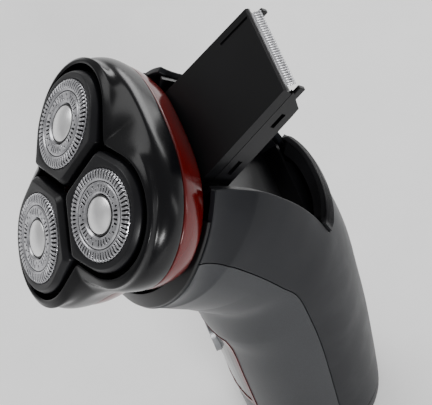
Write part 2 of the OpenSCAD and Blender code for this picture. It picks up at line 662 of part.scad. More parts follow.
// ---- inside the handle --------------------------------------------------------
battery_at = [0, 5.5, 14.5];
chassis_y = battery_at[1] - battery_r - 2.2;
board_y = chassis_y - 4.4;
chassis_top = fold_z + 9;
module chassis() {
    color("#3c3e42") {
        translate([-16, chassis_y, 13]) cube([32, 1.4, chassis_top - 13]);
        for (side = [-1, 1]) translate([side * (battery_r + 1) - 0.6, chassis_y + 1.4, 20])
            cube([1.2, battery_r + 2, battery_l - 12]);
        for (x = [-11, 11]) for (z = [20, chassis_top - 8]) translate([x, chassis_y, z])
            rotate([90, 0, 0]) cylinder(r = 1.6, h = 2.8, $fn = 24);
    }
}
module battery() {
    color("#3f7a4a") translate(battery_at) {
        cylinder(r = battery_r, h = battery_l - 1.2, $fn = 64);
        translate([0, 0, battery_l - 1.2]) cylinder(r = 2.6, h = 1.2, $fn = 32);
    }
}
module battery_tabs() {
    color("#c9cbd0") for (z = [battery_at[2] - 0.5, battery_at[2] + battery_l])
        translate([-2.5, battery_at[1] - 6, z]) cube([5, 12, 0.5]);
}
module main_board() {
    color("#1f5a38") translate([-13, board_y, 15]) cube([26, 1.6, chassis_top - 19]);
}
module button_switch() {
    depth = board_y - switch_face - 0.6;
    color("#55585d") {
        translate([-3, switch_face + 0.6, button_z - 3]) cube([6, depth, 6]);
        translate([0, switch_face + 0.6, button_z]) rotate([90, 0, 0])
            cylinder(r = 1.5, h = 0.6, $fn = 24);
    }
}

// Collar: a black flange that closes the body around the neck.
normal = [0, -sin(head_tilt), cos(head_tilt)];
module neck_collar() {
    cols = [for (i = [0:40]) -120 + i * 6];
    function at(t, up) = [for (a = cols) skin(LAST, a, 0.3 + 3.7 * t)
                          + normal * (seam + 3.4 * t * pow(cos(a / 2), 2) + up)];
    color("#141517") sheet([for (t = [0, 0.5, 1]) at(t, 1)], [for (t = [0, 0.5, 1]) at(t, 0)]);
}

// ---- trimmer --------------------------------------------------------------
hinge_at = [0, head_yz(18.6, -26.8)[0], head_yz(18.6, -26.8)[1]];
module at_hinge(angle) { translate(hinge_at) rotate([angle, 0, 0]) children(); }
module at_trimmer() { at_hinge(trim_open) children(); }
split_z = trim_top - cover_t;
module across(r, w) { rotate([0, 90, 0]) cylinder(r = r, h = w, center = true, $fn = 64); }
// Outline from above, narrower at the blade.
module trimmer_plan(from, to, inset) {
    function w(y) = (trim_w + (trim_tip_w - trim_w) * max(0, y) / trim_l) / 2 - inset;
    polygon([[-w(from), from], [w(from), from], [w(to), to], [-w(to), to]]);
}
module trimmer_cover() {
    color("#232528") at_trimmer() difference() {
        intersection() {
            translate([0, 0, split_z]) linear_extrude(cover_t) trimmer_plan(-5, trim_l, 0);
            union() {
                across(trim_top, 60);
                translate([-40, 0, -10]) cube([80, trim_l - 0.6, 40]);
            }
        }
        translate([0, 0, split_z - 1]) linear_extrude(cover_t - 0.2)
            trimmer_plan(7, trim_l - 5, 1.6);
        across(pin_r + 1.7, 2 * spring_hw);
        // long shallow slit beside the blade
        translate([2.2 - trim_tip_w / 2, trim_l - 13, trim_top - 0.5]) rotate([0, 0, 2.5])
            cube([0.9, 11, 2]);
        translate([0, trim_l - 1.1, trim_top + 0.2]) rotate([-45, 0, 0])
            translate([-trim_tip_w / 2 + 0.6, -1, -3]) cube([trim_tip_w - 1.2, 6, 3.2]);
    }
}
spring_hw = 3.4;
module trimmer_base() {
    color("#1a1b1d") at_trimmer() difference() {
        union() {
            across(trim_under, trim_w);
            translate([0, 0, -trim_under]) linear_extrude(trim_under + split_z - 0.1)
                trimmer_plan(0, trim_l - 1.4, 0);
            for (side = [-1, 1]) translate([side * (trim_tip_w / 2 - 0.7) - 0.7, trim_l - 2,
                                            -trim_under]) cube([1.4, 2.6, trim_under + 0.6]);
        }
        translate([-40, -10, split_z - 0.1]) cube([80, 60, 20]);
        across(pin_r + shaft_gap, 60);
        translate([-spring_hw, -8, -8]) cube([2 * spring_hw, 11, 20]);
        translate([0, 0, 1.4 - trim_under]) linear_extrude(20) trimmer_plan(7, trim_l - 3.4, 1.6);
        translate([2 - trim_tip_w / 2, trim_l - 4, 1.4 - trim_under])
            cube([trim_tip_w - 4, 20, 20]);
        for (y = [11, 29]) translate([0, y, -1.6]) cube([60, 5, 1.3], center = true);
    }
}
// Comb and blade lie on a slope at the end of the trimmer.
blade_slope = -40;
comb_w = trim_tip_w - 2.6;
comb_t = 0.5;
module at_blade() {
    at_trimmer() translate([0, trim_l - 1.9, split_z + 1.7]) rotate([blade_slope, 0, 0]) children();
}
module teeth(w, count, from, to, t) {
    difference() {
        translate([-w / 2, from, 0]) cube([w, to - from, t]);
        for (i = [0:count - 1]) translate([(i + 0.5) * w / count - w / 2, to, t / 2])
            cube([w / count * 0.48, 3, 2 * t], center = true);
    }
}
module trimmer_comb() {
    color("#d4d6da") at_blade() {
        teeth(comb_w, comb_teeth, -0.4, 3, comb_t);
        for (side = [-1, 1]) translate([side * (comb_w / 2 - 0.6) - 0.6, -0.4, comb_t])
            cube([1.2, 1.2, 0.3]);
    }
}
module trimmer_blade() {
    color("#bfc2c7") at_blade() translate([0, 0, -comb_t - 0.06])
        teeth(comb_w - 2 * blade_travel - 1, comb_teeth - 4, 0.2, 2.8, comb_t);
}
module trimmer_pin() {
    color("#b9bcc2") at_hinge(0) across(pin_r, 2 * bay_hw + 2.2);
}
module trimmer_spring() {
    color("#9a9da3") at_hinge(0) for (x = [-2.2:1.1:2.2]) translate([x, 0, 0])
        rotate([0, 90, 0]) rotate_extrude($fn = 40) translate([pin_r + 0.75, 0])
            circle(r = 0.4, $fn = 16);
}

// Bay: the well that the closed trimmer lies in, lined up with the shell's opening.
bay_low = -trim_under - 0.8;
bay_end = trim_l + 1.4;
closed = [cos(trim_closed), -sin(trim_closed)];
outward = [sin(trim_closed), cos(trim_closed)];
function in_bay(x, u, v) = [x, hinge_at[1] + closed[0] * u + outward[0] * v,
                            hinge_at[2] + closed[1] * u + outward[1] * v];
function bay_u(p) = (p[1] - hinge_at[1]) * closed[0] + (p[2] - hinge_at[2]) * closed[1];
bay_t = 1.2;
module trimmer_bay() {
    rows = 12;
    floor_hw = bay_hw + 0.8;
    color("#202225") difference() {
        union() {
            for (side = [-1, 1]) {
                walls = [for (i = [0:rows]) let (
                    s = LAST - i * (LAST - 8.95) / rows,
                    p = skin(s, angle_at(s, hole_x(s)), wall + 0.6),
                    low = in_bay(bay_hw + 1.4, max(bay_u(p), 0.5), bay_low - 0.7))
                    [for (t = [0:3]) let (q = p + (low - p) * t / 3) [side * q[0], q[1], q[2]]]];
                inner = [for (row = walls) [for (q = row) q - [side * bay_t, 0, 0]]];
                if (side > 0) sheet(walls, inner);
                else sheet(inner, walls);
            }
            at_hinge(-trim_closed) {
                translate([-floor_hw, 5.2, bay_low - bay_t])
                    cube([2 * floor_hw, bay_end + bay_t - 5.2, bay_t]);
                translate([-floor_hw, bay_end, bay_low - bay_t]) cube([2 * floor_hw, bay_t, 6.4]);
                // stop for the release slider, and a small catch in the well
                translate([-9, bay_end + 0.5, -1.6]) cube([18, 4.2, bay_t]);
                translate([4, bay_end - 1, bay_low - 0.5]) cube([5, 1.6, 3]);
                // ears that carry the hinge pin
                for (side = [-1, 1]) translate([side * (bay_hw + 0.65), 0, 0]) {
                    across(pin_r + 1.6, bay_t);
                    translate([-bay_t / 2, -pin_r - 1.6, bay_low - 0.6])
                        cube([bay_t, pin_r + 1.6 + 6.5, 0.6 - bay_low]);
                }
            }
        }
        at_hinge(0) across(pin_r, 2 * bay_hw + 2.6);
    }
}
slider_s = 0.42;
module trimmer_slider() {
    from = hole_row / steps_per_section + 0.01;
    list = [for (i = [0:14]) from + slider_s * i / 14];
    edge = hole_hw - 0.5;
    function strip(inset, ridge) = [for (i = [0:14]) let (s = list[i], a = angle_at(s, edge))
        [for (c = [0:20]) skin(s, a + (360 - 2 * a) * c / 20,
                               inset - (i > 1 && i < 13 && i % 2 == 0 ? ridge : 0))]];
    color("#3a3d41") sheet(strip(-0.7, 0.5), strip(wall - 0.2, 0));
}

head_frame();
blade_retainer();
retainer_lock();
plate_a();
plate_b();
plate_c();
guard_a();
guard_b();
guard_c();
cap_a();
cap_b();
cap_c();
cutter_a();
cutter_b();
cutter_c();
red_ring();
hair_chamber();
gear_plate();
spindle_a();
spindle_b();
spindle_c();
spindle_gear_a();
spindle_gear_b();
spindle_gear_c();
centre_gear();
motor_pinion();
motor_shaft();
motor();
motor_end_cap();
motor_clamp();
neck();
neck_collar();
gear_screws();
back_shell();
front_shell();
button_panel();
red_accent();
power_button();
charge_lens();
base_cap();
charging_socket();
socket_pin();
battery();
battery_tabs();
main_board();
button_switch();
chassis();
trimmer_bay();
trimmer_cover();
trimmer_base();
trimmer_comb();
trimmer_blade();
trimmer_pin();
trimmer_spring();
trimmer_slider();
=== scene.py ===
import json
import math

import bmesh
import bpy
from mathutils import Matrix, Vector


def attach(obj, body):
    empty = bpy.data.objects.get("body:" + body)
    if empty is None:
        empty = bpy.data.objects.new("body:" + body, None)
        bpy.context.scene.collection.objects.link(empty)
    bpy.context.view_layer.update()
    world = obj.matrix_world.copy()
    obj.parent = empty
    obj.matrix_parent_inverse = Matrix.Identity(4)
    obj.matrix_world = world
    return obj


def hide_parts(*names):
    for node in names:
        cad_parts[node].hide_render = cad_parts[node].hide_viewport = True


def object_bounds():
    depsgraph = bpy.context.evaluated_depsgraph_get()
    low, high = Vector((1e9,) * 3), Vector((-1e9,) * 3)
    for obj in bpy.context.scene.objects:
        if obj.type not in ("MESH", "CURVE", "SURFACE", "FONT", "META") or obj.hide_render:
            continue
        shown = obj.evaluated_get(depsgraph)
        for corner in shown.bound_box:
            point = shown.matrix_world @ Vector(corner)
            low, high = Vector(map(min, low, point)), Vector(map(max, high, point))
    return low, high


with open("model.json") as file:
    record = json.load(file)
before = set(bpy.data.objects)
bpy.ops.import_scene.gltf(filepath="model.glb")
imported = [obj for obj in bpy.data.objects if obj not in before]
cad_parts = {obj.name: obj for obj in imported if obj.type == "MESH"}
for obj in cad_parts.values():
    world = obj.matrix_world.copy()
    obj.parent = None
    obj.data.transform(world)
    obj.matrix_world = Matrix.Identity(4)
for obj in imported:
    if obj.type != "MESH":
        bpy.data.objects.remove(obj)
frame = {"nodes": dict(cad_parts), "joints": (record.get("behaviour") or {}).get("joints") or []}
cad_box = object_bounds()

# ---- Camera, table and lamps -------------------------------------------------
# The shaver stands on a pale table and is seen from above its right side.
# The head's place and lean come from its lock, which turns on the head's axis.
MM = 0.001
LOCK_BELOW = 13
joints = {joint["name"]: joint for joint in frame["joints"]}
lock = joints["lock_turn"]
head_axis = Vector(lock["axis"])
head_at = Vector(lock["pos_m"]) + LOCK_BELOW * MM * head_axis
side = Vector((1, 0, 0))
head = Matrix.Translation(head_at) @ Matrix((side, head_axis.cross(side), head_axis)).transposed().to_4x4()

CAMERA_FAR, CAMERA_ACROSS, CAMERA_DOWN = 648.25, 38.63, 2.61
camera_back = Vector((0.5713, -0.0341, 0.8201)).normalized()
camera_right = Vector((0.3316, 0.9235, -0.1926))
camera_up = camera_back.cross(camera_right).normalized()
camera_right = camera_up.cross(camera_back)
camera_data = bpy.data.cameras.new("camera")
camera_data.lens = 208.33
camera_data.sensor_width = 36
camera_data.clip_start = 0.05
camera_data.clip_end = 20
camera = bpy.data.objects.new("camera", camera_data)
bpy.context.scene.collection.objects.link(camera)
camera.matrix_world = Matrix((camera_right, camera_up, camera_back)).transposed().to_4x4()
camera.location = head_at + MM * (CAMERA_FAR * camera_back + CAMERA_ACROSS * camera_right
                                  - CAMERA_DOWN * camera_up)
bpy.context.scene.camera = camera


class Wire:
    """A socket of a material, which sums and products take like a number."""

    def __init__(self, tree, socket):
        self.tree = tree
        self.socket = socket

    def node(self, kind, settings=None, inputs=None, output=0):
        made = self.tree.nodes.new(kind)
        for name, value in (settings or {}).items():
            if name == "stops":
                ramp = made.color_ramp.elements
                while len(ramp) < len(value):
                    ramp.new(0.5)
                for stop, (place, grey) in zip(ramp, value):
                    stop.position = place
                    stop.color = (grey, grey, grey, 1)
            else:
                setattr(made, name, value)
        for name, value in (inputs or {}).items():
            if isinstance(value, Wire):
                self.tree.links.new(value.socket, made.inputs[name])
            else:
                made.inputs[name].default_value = value
        return Wire(self.tree, made.outputs[output])

    def math(self, operation, first, second):
        return self.node("ShaderNodeMath", {"operation": operation}, {0: first, 1: second})

    def __add__(self, other):
        return self.math("ADD", self, other)

    def __radd__(self, other):
        return self.math("ADD", other, self)

    def __sub__(self, other):
        return self.math("SUBTRACT", self, other)

    def __mul__(self, other):
        return self.math("MULTIPLY", self, other)

    def noise(self, scale, detail=3.0):
        return self.node("ShaderNodeTexNoise", {}, {"Vector": self, "Scale": scale, "Detail": detail})

    def ramp(self, *stops):
        return self.node("ShaderNodeValToRGB", {"stops": stops}, {"Fac": self})

    def blend(self, colour_a, colour_b):
        return self.node("ShaderNodeMix", {"data_type": "RGBA"}, {0: self, 6: colour_a, 7: colour_b}, 2)

    def bump(self, strength, depth):
        return self.node("ShaderNodeBump", {}, {"Height": self, "Strength": strength, "Distance": depth})


def rgb(red, green, blue):
    return (red, green, blue, 1.0)


def finish(name, constants, build):
    """A material. constants are set on the shader, build gives what varies."""
    material = bpy.data.materials.new(name)
    material.use_nodes = True
    tree = material.node_tree
    shader = tree.nodes["Principled BSDF"]
    for socket, value in constants.items():
        shader.inputs[socket].default_value = value
    coordinates = tree.nodes.new("ShaderNodeTexCoord")
    for socket, wire in build(Wire(tree, coordinates.outputs["Object"])).items():
        tree.links.new(wire.socket, shader.inputs[socket])
    return material


def moulded(name, colour, other, rough, grain, depth, **constants):
    """Moulded plastic: cloudy colour, uneven gloss and a spark-eroded grain."""
    def build(at):
        cloud = at.noise(60, 4)
        fine = at.noise(grain, 2)
        return {"Base Color": cloud.ramp((0.35, 0), (0.65, 1)).blend(colour, other),
                "Roughness": cloud * 0.10 + (rough - 0.05) + fine * 0.04,
                "Normal": fine.bump(0.35, depth)}
    return finish(name, constants, build)


table_top = moulded("table_top", rgb(0.95, 0.95, 0.95), rgb(0.98, 0.98, 0.98), 0.6, 900, 0.00005)
bpy.ops.mesh.primitive_plane_add(size=6, location=(0, 0, cad_box[0].z))
table = bpy.context.object
table.name = "table"
table.data.materials.append(table_top)


def lamp(name, place, size, watts, target=head_at):
    data = bpy.data.lights.new(name, "AREA")
    data.shape = "RECTANGLE"
    data.size, data.size_y = size
    data.energy = watts
    made = bpy.data.objects.new(name, data)
    bpy.context.scene.collection.objects.link(made)
    made.location = head_at + Vector(place)
    made.rotation_mode = "QUATERNION"
    made.rotation_quaternion = (target - made.location).to_track_quat("-Z", "Y")


def from_camera(right, up, back):
    return right * camera_right + up * camera_up + back * camera_back


lamp("key", from_camera(-0.60, 0.85, 0.30), (0.8, 0.6), 6)
lamp("sky", from_camera(0.45, 1.0, -0.3), (1.0, 0.4), 13)
lamp("front_fill", from_camera(-0.9, -0.3, 0.5), (0.5, 0.8), 0.8)
lamp("shoulder", (0.60, 0.14, 0.16), (0.20, 0.12), 3, head_at + Vector((0.02, 0.03, -0.03)))
lamp("side_strip", from_camera(1.0, 0.1, 0.25), (0.12, 0.6), 1.2)
world = bpy.data.worlds.new("studio")
world.use_nodes = True
background = world.node_tree.nodes["Background"]
background.inputs["Color"].default_value = rgb(1, 1, 1)
background.inputs["Strength"].default_value = 0.46
bpy.context.scene.world = world

# ---- Head shell --------------------------------------------------------------
# The shell round the three plates is one glossy black moulding with three
# lobes. It clips over the hair chamber and lifts off for cleaning.
LOBES = {"a": 150, "b": 30, "c": 270}
DISC_RING = 18.3
DISC_R = 12.0
PLATE_R = DISC_R + 2.7
HOLE_R = PLATE_R + 1.3
RIM_Z = -14.0
RIM_R = DISC_RING + PLATE_R
VALLEY_AT = (LOBES["c"] - 58, LOBES["c"] + 58)
VALLEY_REACH = 50
WALL = 1.8


def cos_of(degrees):
    return math.cos(math.radians(degrees))


def sin_of(degrees):
    return math.sin(math.radians(degrees))


def lobe_wave(angle):
    """1 over a disc, -1 between two discs."""
    return cos_of(3 * (angle - LOBES["b"]))


def valley(angle):
    """The shell is drawn in beside the front disc."""
    away = min(abs((angle - at + 180) % 360 - 180) for at in VALLEY_AT)
    return cos_of(90 * away / VALLEY_REACH) ** 2 if away < VALLEY_REACH else 0


def rim_at(angle):
    return RIM_R + 2.5 * lobe_wave(angle) - 4.8 * valley(angle)


def hole_at(angle):
    """Reach of the shell's hole: an arc round each disc, a straight edge between."""
    away = abs((angle + 360 - LOBES["b"] + 60) % 120 - 60)
    corner = math.degrees(math.atan(HOLE_R / DISC_RING))
    if away < corner:
        return DISC_RING * cos_of(away) + math.sqrt(HOLE_R ** 2 - (DISC_RING * sin_of(away)) ** 2)
    return HOLE_R / sin_of(away)


def polar(radius, angle, z):
    return Vector((radius * cos_of(angle), radius * sin_of(angle), z))


def grid(name, rows, material, place=Matrix(), wrap_rows=False, wrap_columns=False, keep=None,
         end_caps=False):
    """A mesh from rows of points in millimetres, placed in the shaver."""
    width = len(rows[0])
    faces = []
    for r in range(len(rows) - (0 if wrap_rows else 1)):
        for c in range(width - (0 if wrap_columns else 1)):
            if keep is None or keep(r, c):
                below, beside = (r + 1) % len(rows), (c + 1) % width
                faces.append((r * width + c, r * width + beside, below * width + beside, below * width + c))
    if end_caps:
        faces.append(tuple(range(width - 1, -1, -1)))
        faces.append(tuple((len(rows) - 1) * width + c for c in range(width)))
    mesh = bpy.data.meshes.new(name)
    mesh.from_pydata([place @ (Vector(p) * MM) for row in rows for p in row], [], faces)
    shape = bmesh.new()
    shape.from_mesh(mesh)
    bmesh.ops.delete(shape, geom=[v for v in shape.verts if not v.link_faces], context="VERTS")
    bmesh.ops.recalc_face_normals(shape, faces=shape.faces)
    shape.to_mesh(mesh)
    shape.free()
    mesh.shade_smooth()
    mesh.materials.append(material)
    made = bpy.data.objects.new(name, mesh)
    bpy.context.scene.collection.objects.link(made)
    return made


def thicken(piece, thickness, outward=-1):
    change = piece.modifiers.new("thickness", "SOLIDIFY")
    change.thickness = thickness * MM
    change.offset = outward
    change.use_even_offset = True
    change.use_quality_normals = True


def round_edges(piece, width, segments=3, angle=32):
    change = piece.modifiers.new("edges", "BEVEL")
    change.width = width * MM
    change.segments = segments
    change.limit_method = "ANGLE"
    change.angle_limit = math.radians(angle)
    change.miter_outer = "MITER_ARC"
    piece.modifiers.new("normals", "WEIGHTED_NORMAL").keep_sharp = True


def subdivide(piece, levels):
    change = piece.modifiers.new("smooth", "SUBSURF")
    change.levels = levels
    change.render_levels = levels


def fit(piece, body, slot, *nodes):
    """The piece rides on a body and stands for CAD nodes, which are hidden. slot is not used."""
    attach(piece, body)
    if nodes:
        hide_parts(*nodes)


def gloss_black(at):
    cloud = at.noise(90, 3)
    dust = at.noise(2600, 2).ramp((0.66, 0), (0.74, 1))
    return {"Base Color": cloud.blend(rgb(0.0015, 0.0015, 0.002), rgb(0.004, 0.004, 0.005)),
            "Roughness": cloud * 0.05 + 0.20 + dust * 0.10,
            "Normal": at.noise(140, 1).bump(0.08, 0.0005)}


shell_finish = finish("gloss_black_shell", {"Specular IOR Level": 0.2}, gloss_black)


def shell_profile(angle):
    """Section of the shell: up the outside, over the top and down the hole."""
    lobe, hole, out = lobe_wave(angle), hole_at(angle), rim_at(angle)
    top = -2.6 - lobe
    shoulder = max(out + 0.6, RIM_R - 1.5 + 4.85 * lobe)
    return [polar(r, angle, z) for r, z in (
        (out, RIM_Z), (out + 0.1, RIM_Z + 0.3), (out + 0.8 + 0.5 * lobe, -10.8),
        (shoulder, -7.4), (shoulder - 1.0, -6.3),
        (hole + 3.3 - 1.3 * lobe, top - 1.3 + 0.5 * lobe), (hole + 2.6 - 1.2 * lobe, top - 0.9 + 0.4 * lobe),
        (hole + 1.2, top - 0.05), (hole + 0.5, top), (hole + 0.1, top - 0.3), (hole, top - 0.9),
        (hole, -9.4), (max(hole + 1.2, out - WALL - 1), -10.6), (out - WALL, RIM_Z + 0.3),
        (out - WALL, RIM_Z))]


head_shell = grid("head_shell", [shell_profile(i * 360 / 144) for i in range(144)], shell_finish,
                  head, wrap_rows=True, wrap_columns=True)
subdivide(head_shell, 2)
fit(head_shell, "head", "gloss_black", "head_frame")

# ---- Shaving plates -----------------------------------------------------------
# Three wedge-shaped plates float in the shell, each on two small pins. They
# are satin black mouldings with a bevelled edge and a round seat for the guard.
APEX_X = -DISC_RING * cos_of(7.3) + 1.3 / sin_of(60)
APEX_ROUND = 3.0
SEAT_R = DISC_R + 0.05


def disc_place(name):
    """Frame of one disc: its axis is the cutter's, its Y the plate's tilt axis."""
    spin, tilt = joints["cutter_" + name + "_spin"], joints["plate_" + name + "_tilt"]
    up = Vector(spin["axis"])
    across = Vector(tilt["axis"])
    turn = Matrix((across.cross(up), across, up)).transposed().to_4x4()
    return Matrix.Translation(Vector(spin["pos_m"]) + 5.4 * MM * up) @ turn


def wedge(grow, z):
    """Outline of a plate: an arc, two straight sides and a rounded apex."""
    radius = PLATE_R + grow
    tip = APEX_X - grow / sin_of(60)
    middle = Vector((tip + APEX_ROUND / sin_of(60), 0, z))
    corner = Vector((tip + radius / math.tan(math.radians(60)), radius, z))
    apex = middle + polar(APEX_ROUND, 150, 0)
    slope = (apex - corner).normalized()
    half = [polar(radius, a, z) for a in range(0, 91, 3)]
    half += [Vector((corner.x * t, radius, z)) for t in (0.3, 0.6, 0.8)]
    half += [corner + Vector((0.7, 0, 0)), corner + Vector((0.2, 0, 0)) + 0.1 * slope,
             corner + Vector((0.06, 0, 0)) + 0.3 * slope, corner + 0.75 * slope]
    half += [corner.lerp(apex, t) for t in (0.2, 0.4, 0.6, 0.8)]
    half += [middle + polar(APEX_ROUND, a, 0) for a in range(150, 181, 6)]
    return half + [Vector((p.x, -p.y, z)) for p in reversed(half[1:-1])]


def plate_black(at):
    cloud = at.noise(70, 4)
    grain = at.noise(5200, 2)
    return {"Base Color": cloud.blend(rgb(0.004, 0.004, 0.005), rgb(0.008, 0.008, 0.010)),
            "Roughness": cloud * 0.10 + 0.30 + grain * 0.06,
            "Normal": grain.bump(0.25, 0.00003)}


plate_finish = finish("satin_black_plate", {"Specular IOR Level": 0.25}, plate_black)
seat = [Vector((p.x, p.y, 0)).normalized() * SEAT_R for p in wedge(0, 0)]


def seat_row(grow, z):
    return [p * (1 + grow / SEAT_R) + Vector((0, 0, z)) for p in seat]


def face_row(share):
    """A line on the plate's face, between its seat and its bevel."""
    return [a.lerp(b, share) for a, b in zip(seat, wedge(-1.0, 0))]


rows = [seat_row(0, -4.6), seat_row(0, -0.5), seat_row(0.06, -0.15), seat_row(0.3, -0.02),
        face_row(0.5), face_row(0.9), wedge(-0.92, -0.02), wedge(-0.78, -0.16), wedge(-0.16, -1.22),
        wedge(-0.02, -1.5), wedge(0, -1.8), wedge(0, -3.9), wedge(-0.4, -4.6)]
for name in LOBES:
    plate = grid("plate_" + name + "_moulding", rows, plate_finish, disc_place(name),
                 wrap_rows=True, wrap_columns=True)
    fit(plate, "plate_" + name, "satin_black", "plate_" + name)

# ---- Guards ---------------------------------------------------------------------
# Each guard is drawn from thin hardened steel. The outer track has long slots,
# the inner one groups of slits and of staggered holes. A groove parts them; the
# near-black ring laid in it is painted shade.
OUTER_SLOTS = 60
GUARD_COLUMNS = 8 * OUTER_SLOTS
GUARD_ROWS = [(1.55, 0.1), (5.4, 0.1), (5.5, 0.2), (5.85, 0.66), (6.15, 0.72), (6.85, 0.74),
              (7.05, 0.74), (7.95, 0.72), (8.35, 0.68), (8.6, 0.42), (8.95, 0.42), (9.2, 0.68),
              (9.45, 0.76), (10.4, 0.79), (11.2, 0.77), (11.45, 0.7), (11.7, 0.5), (11.95, 0.15),
              (12.0, -0.2), (12.0, -2.6)]


def turned(profile, count=72):
    """Rows of a turned shape, from its profile's radii and heights."""
    return [[polar(r, i * 360 / count, z) for i in range(count)] for r, z in profile]


def around(at, centre, axis):
    """Distance of a point from a disc's axis."""
    arm = at.node("ShaderNodeVectorMath", {"operation": "SUBTRACT"}, {0: at, 1: centre})
    cross = arm.node("ShaderNodeVectorMath", {"operation": "CROSS_PRODUCT"}, {0: arm, 1: axis})
    return cross.node("ShaderNodeVectorMath", {"operation": "LENGTH"}, {0: cross}, "Value")


def turned_steel(name, place, colour, other, rough, depth, rings=9000):
    """Steel that was turned on a lathe: fine rings round the disc's axis."""
    centre, axis = place.translation, place.col[2].to_3d()

    def build(at):
        radius = around(at, centre, axis)
        line = radius.node("ShaderNodeTexNoise", {"noise_dimensions": "1D"},
                           {"W": radius, "Scale": rings, "Detail": 3.0})
        cloud = at.noise(500, 3)
        return {"Base Color": cloud.blend(colour, other),
                "Roughness": rough + line * 0.12 + cloud * 0.08,
                "Normal": line.bump(0.3, depth)}
    return finish(name, {"Metallic": 1.0}, build)


def slotted(r, c):
    """Whether a cell of the guard's grid is steel: False in slots and holes."""
    group, place = divmod(c, 48)
    if 12 <= r <= 16:
        return c % 8 > 3
    if not 4 <= r <= 6 or place % 12 > 5:
        return True
    if group % 2 == 0:
        return False
    # a hole near the inner edge, then one near the outer edge
    return r == 5 or (r == 4) == (place // 12 % 2 == 0)


# The groove ring's near-black colour is painted shade, not a black part.
def painted_groove_shade(at):
    grain = at.noise(3000, 2)
    return {"Base Color": grain.blend(rgb(0.004, 0.004, 0.004), rgb(0.010, 0.010, 0.010)),
            "Roughness": grain * 0.2 + 0.45}


groove_shade_finish = finish("guard_groove_shade_painted", {"Specular IOR Level": 0.2}, painted_groove_shade)
# A thin ring laid in the groove between the tracks, near-black as painted shade.
groove = [(8.62, 0.3), (8.62, 0.47), (8.93, 0.47), (8.93, 0.3)]
for name in LOBES:
    place = disc_place(name)
    steel = turned_steel("guard_steel_" + name, place, rgb(0.24, 0.24, 0.26), rgb(0.62, 0.62, 0.64),
                         0.16, 0.00004)
    guard = grid("guard_" + name + "_steel", turned(GUARD_ROWS, GUARD_COLUMNS), steel, place,
                 wrap_columns=True, keep=slotted)
    thicken(guard, 0.42)
    track = grid("guard_" + name + "_groove", turned(groove), groove_shade_finish, place,
                 wrap_rows=True, wrap_columns=True)
    subdivide(track, 1)
    # The ring's black is painted shade in the groove, not black plastic.
    fit(track, "plate_" + name, "black_plastic")
    fit(guard, "plate_" + name, "steel", "guard_" + name)

# ---- Caps -----------------------------------------------------------------------
# A domed steel cap, turned to a bright finish, is held in the middle of each
# guard by its stud. A thin black ring lies round its edge.
dome = [(0.001, 1.58), (1.2, 1.52), (2.4, 1.33), (3.4, 1.05), (4.1, 0.78), (4.55, 0.58), (4.8, 0.42),
        (4.85, 0.3), (4.85, 0.12), (1.5, 0.12), (1.5, -1.2)]
ring = [(4.87, 0.12), (4.87, 0.36), (4.95, 0.44), (5.15, 0.44), (5.3, 0.36), (5.34, 0.12)]


def black_rubber(at):
    grain = at.noise(3000, 2)
    return {"Base Color": grain.blend(rgb(0.006, 0.006, 0.007), rgb(0.012, 0.012, 0.013)),
            "Roughness": grain * 0.2 + 0.4}


ring_finish = finish("cap_ring_black", {}, black_rubber)
for name in LOBES:
    place = disc_place(name)
    bright = turned_steel("cap_steel_" + name, place, rgb(0.78, 0.78, 0.79), rgb(0.9, 0.9, 0.9),
                          0.26, 0.00002, 4000)
    cap = grid("cap_" + name + "_dome", turned(dome), bright, place, wrap_columns=True)
    subdivide(cap, 2)
    fit(cap, "plate_" + name, "steel", "cap_" + name)
    seat_ring = grid("cap_" + name + "_ring", turned(ring), ring_finish, place,
                     wrap_rows=True, wrap_columns=True)
    subdivide(seat_ring, 1)
    fit(seat_ring, "plate_" + name, "black_plastic")

# ---- Red ring ---------------------------------------------------------------------
# The ring under the shell is moulded in deep red and lacquered clear. It stays
# on the neck when the head is opened.
RING_TOP = RIM_Z - 0.2
RING_LOW = RIM_Z - 8.2


def red_lacquer(at):
    cloud = at.noise(50, 3)
    return {"Base Color": cloud.blend(rgb(0.050, 0.0008, 0.001), rgb(0.105, 0.0025, 0.002)),
            "Roughness": cloud * 0.08 + 0.16,
            "Normal": at.noise(200, 1).bump(0.08, 0.0004)}


red_finish = finish("red_lacquer", {"Specular IOR Level": 0.3, "Coat Weight": 0.15,
                                    "Coat Roughness": 0.08}, red_lacquer)


def ring_profile(angle):
    top = rim_at(angle) - 0.3
    low = top - 3.4 + 0.8 * valley(angle)
    return [polar(r, angle, z) for r, z in (
        (low, RING_LOW), (low + 0.1, RING_LOW + 0.25), (low + 1.6, RING_LOW + 2.6),
        (low + 2.7, RING_LOW + 5),
        (top, RING_TOP - 0.7), (top, RING_TOP - 0.3), (top - 0.25, RING_TOP), (top - WALL, RING_TOP),
        (top - WALL, RING_TOP - 0.6), (low + 2.6 - WALL, RING_LOW + 4.6), (low - WALL + 0.2, RING_LOW + 0.4),
        (low - WALL, RING_LOW))]


red_ring = grid("red_ring_lacquered", [ring_profile(i * 2.5) for i in range(144)], red_finish,
                head, wrap_rows=True, wrap_columns=True)
subdivide(red_ring, 1)
fit(red_ring, "handle", "red_lacquer", "red_ring")

# ---- Handle skin ------------------------------------------------------------------
# The handle is drawn as one smooth skin from the base to the collar under the
# red ring. Each row is a section: front point, back point and half width.
HEAD_Z = head_at.z / MM
HEAD_OUT = -head_at.y / MM
HALF_W = 25.0
HALF_D = 22.7
BASE_H = 9.0
FOLD_Z = HEAD_Z - 71


def from_head(y, z):
    return (y - HEAD_OUT, z + HEAD_Z)


def on_collar(y, z):
    point = head @ Vector((0, y * MM, z * MM)) / MM
    return (point.y, point.z)


